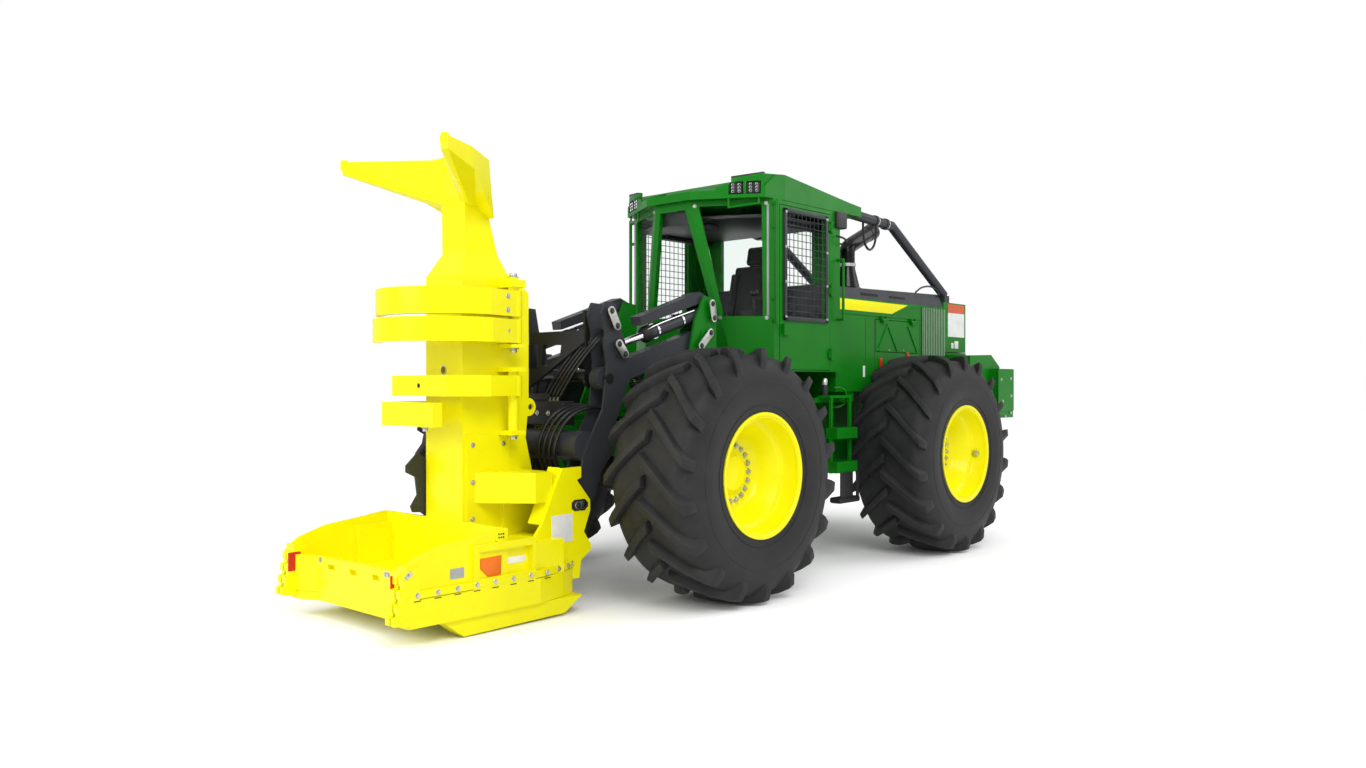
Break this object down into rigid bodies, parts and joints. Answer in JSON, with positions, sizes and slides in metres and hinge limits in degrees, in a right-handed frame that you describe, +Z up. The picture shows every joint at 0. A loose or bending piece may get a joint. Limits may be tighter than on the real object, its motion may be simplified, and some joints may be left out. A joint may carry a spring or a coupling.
{
  "type": "wheeled feller buncher",
  "caption": "Articulated wheeled forestry machine with an enclosed cab, and a boom on its front frame that holds a disc-saw felling head with gripping arms.",
  "frame": {"origin": "centre of the bounding box at the level the tyres stand on", "axes": "+X forward (the felling head's end), +Y to the machine's left, +Z up"},
  "size_m": [7.07, 2.966, 3.19],
  "materials": {
    "green_paint": "satin",
    "yellow_paint": "gloss",
    "dark_paint": "satin",
    "chrome_rod": "polished",
    "saw_steel": "ground",
    "cast_axle": "painted",
    "tyre": "matte",
    "window_glass": "clear",
    "lamp_lens": "clear",
    "seat_fabric": "woven",
    "cab_plastic": "grained"
  },
  "bodies": {
    "rear_chassis": {"rear_frame": "green_paint", "rear_axle": "cast_axle", "engine_block": "dark_paint", "cab_shell": "green_paint", "cab_roof": "green_paint", "cab_glass": "window_glass", "cab_seat": "seat_fabric", "cab_controls": "cab_plastic", "engine_cowl": "green_paint", "hood_top": "dark_paint", "counterweight": "green_paint", "limb_risers": "dark_paint", "exhaust": "dark_paint", "side_steps": "green_paint", "grab_rails": "green_paint", "roof_lamps": "lamp_lens"},
    "front_chassis": {"front_frame": "green_paint", "front_axle": "cast_axle"},
    "wheel_front_left": {"tyre_front_left": "tyre", "rim_front_left": "yellow_paint"},
    "wheel_front_right": {"tyre_front_right": "tyre", "rim_front_right": "yellow_paint"},
    "wheel_rear_left": {"tyre_rear_left": "tyre", "rim_rear_left": "yellow_paint"},
    "wheel_rear_right": {"tyre_rear_right": "tyre", "rim_rear_right": "yellow_paint"},
    "cab_door_left": {"door_left": "green_paint"},
    "cab_door_right": {"door_right": "green_paint"},
    "cowl_door_left": {"engine_door_left": "green_paint"},
    "cowl_door_right": {"engine_door_right": "green_paint"},
    "tail_door": {"rear_grille": "green_paint"},
    "boom": {"lift_arms": "dark_paint"},
    "boom_elbow": {"elbow_frame": "dark_paint"},
    "felling_head": {"head_carrier": "dark_paint", "head_mast": "yellow_paint", "head_tray": "yellow_paint"},
    "tilt_trunnion": {"tilt_guards": "dark_paint"},
    "tilt_cylinder": {"tilt_barrels": "dark_paint"},
    "tilt_piston": {"tilt_rods": "chrome_rod"},
    "lift_cylinder": {"lift_barrels": "dark_paint"},
    "lift_piston": {"lift_rods": "chrome_rod"},
    "saw": {"saw_disc": "saw_steel"},
    "gather_arm_body": {"gather_arm": "yellow_paint"},
    "grab_upper": {"grab_arm_upper": "yellow_paint"},
    "grab_left": {"grab_arm_left": "yellow_paint"},
    "grab_right": {"grab_arm_right": "yellow_paint"}
  },
  "joints": [
    {"name": "articulation", "type": "hinge", "parent": "rear_chassis", "child": "front_chassis", "pos_m": [-0.315, 0, 1], "axis": [0, 0, 1], "range_deg": [-40, 40]},
    {"name": "wheel_front_left_spin", "type": "hinge", "parent": "front_chassis", "child": "wheel_front_left", "pos_m": [1.1525, 1.118, 0.885], "axis": [0, 1, 0], "continuous": true},
    {"name": "wheel_front_right_spin", "type": "hinge", "parent": "front_chassis", "child": "wheel_front_right", "pos_m": [1.1525, -1.118, 0.885], "axis": [0, 1, 0], "continuous": true},
    {"name": "wheel_rear_left_spin", "type": "hinge", "parent": "rear_chassis", "child": "wheel_rear_left", "pos_m": [-1.7825, 1.118, 0.885], "axis": [0, 1, 0], "continuous": true},
    {"name": "wheel_rear_right_spin", "type": "hinge", "parent": "rear_chassis", "child": "wheel_rear_right", "pos_m": [-1.7825, -1.118, 0.885], "axis": [0, 1, 0], "continuous": true},
    {"name": "cab_door_left_hinge", "type": "hinge", "parent": "rear_chassis", "child": "cab_door_left", "pos_m": [-0.627, 0.802, 2.2], "axis": [0, 0, 1], "range_deg": [0, 85]},
    {"name": "cab_door_right_hinge", "type": "hinge", "parent": "rear_chassis", "child": "cab_door_right", "pos_m": [-0.627, -0.802, 2.2], "axis": [0, 0, -1], "range_deg": [0, 85]},
    {"name": "cowl_door_left_hinge", "type": "hinge", "parent": "rear_chassis", "child": "cowl_door_left", "pos_m": [-1.815, 0.755, 2.098], "axis": [1, 0, 0], "range_deg": [0, 80]},
    {"name": "cowl_door_right_hinge", "type": "hinge", "parent": "rear_chassis", "child": "cowl_door_right", "pos_m": [-1.815, -0.755, 2.098], "axis": [-1, 0, 0], "range_deg": [0, 80]},
    {"name": "tail_door_hinge", "type": "hinge", "parent": "rear_chassis", "child": "tail_door", "pos_m": [-3.244, -0.723, 2.08], "axis": [0, 0, 1], "range_deg": [0, 100]},
    {"name": "boom_lift", "type": "hinge", "parent": "front_chassis", "child": "boom", "pos_m": [0.704, 0, 1.859], "axis": [0, -1, 0], "range_deg": [0, 38]},
    {"name": "elbow_level", "type": "hinge", "parent": "boom", "child": "boom_elbow", "pos_m": [1.709, 0, 1.548], "axis": [0, -1, 0], "range_deg": [-38, 0]},
    {"name": "head_tilt", "type": "hinge", "parent": "boom_elbow", "child": "felling_head", "pos_m": [1.709, 0, 1.548], "axis": [0, 1, 0], "range_deg": [-25, 15]},
    {"name": "tilt_trunnion_swing", "type": "hinge", "parent": "front_chassis", "child": "tilt_trunnion", "pos_m": [0.612, 0, 2.077], "axis": [0, -1, 0], "range_deg": [0, 38]},
    {"name": "tilt_cylinder_swing", "type": "hinge", "parent": "tilt_trunnion", "child": "tilt_cylinder", "pos_m": [0.612, 0, 2.077], "axis": [0, -1, 0], "range_deg": [-4, 4]},
    {"name": "tilt_piston_slide", "type": "slide", "parent": "tilt_cylinder", "child": "tilt_piston", "axis": [0.9553, 0, -0.2956], "range_m": [-0.12, 0.08]},
    {"name": "lift_cylinder_swing", "type": "hinge", "parent": "front_chassis", "child": "lift_cylinder", "pos_m": [0.9, 0, 1.16], "axis": [0, -1, 0], "range_deg": [0, 10.54]},
    {"name": "lift_piston_slide", "type": "slide", "parent": "lift_cylinder", "child": "lift_piston", "axis": [0.5543, 0, 0.8323], "range_m": [0, 0.4]},
    {"name": "saw_spin", "type": "hinge", "parent": "felling_head", "child": "saw", "pos_m": [2.735, 0, 0.2], "axis": [0, 0, 1], "continuous": true},
    {"name": "gather_arm_hinge", "type": "hinge", "parent": "felling_head", "child": "gather_arm_body", "pos_m": [2.385, 0.3, 2.04], "axis": [0, 0, 1], "range_deg": [0, 75]},
    {"name": "grab_upper_hinge", "type": "hinge", "parent": "felling_head", "child": "grab_upper", "pos_m": [2.385, 0.3, 1.857], "axis": [0, 0, 1], "range_deg": [0, 75]},
    {"name": "grab_left_hinge", "type": "hinge", "parent": "felling_head", "child": "grab_left", "pos_m": [2.385, 0.3, 1.497], "axis": [0, 0, 1], "range_deg": [0, 75]},
    {"name": "grab_right_hinge", "type": "hinge", "parent": "felling_head", "child": "grab_right", "pos_m": [2.385, -0.3, 1.312], "axis": [0, 0, -1], "range_deg": [0, 75]}
  ],
  "couplings": [
    {"joint": "elbow_level", "follows": "boom_lift", "ratio": -1},
    {"joint": "tilt_trunnion_swing", "follows": "boom_lift", "ratio": 1},
    {"joint": "lift_cylinder_swing", "follows": "boom_lift", "ratio": 0.25114},
    {"joint": "lift_piston_slide", "follows": "boom_lift", "m_per_rad": 0.51583},
    {"joint": "tilt_cylinder_swing", "follows": "head_tilt", "ratio": 0.09},
    {"joint": "tilt_piston_slide", "follows": "head_tilt", "m_per_rad": 0.19}
  ]
}
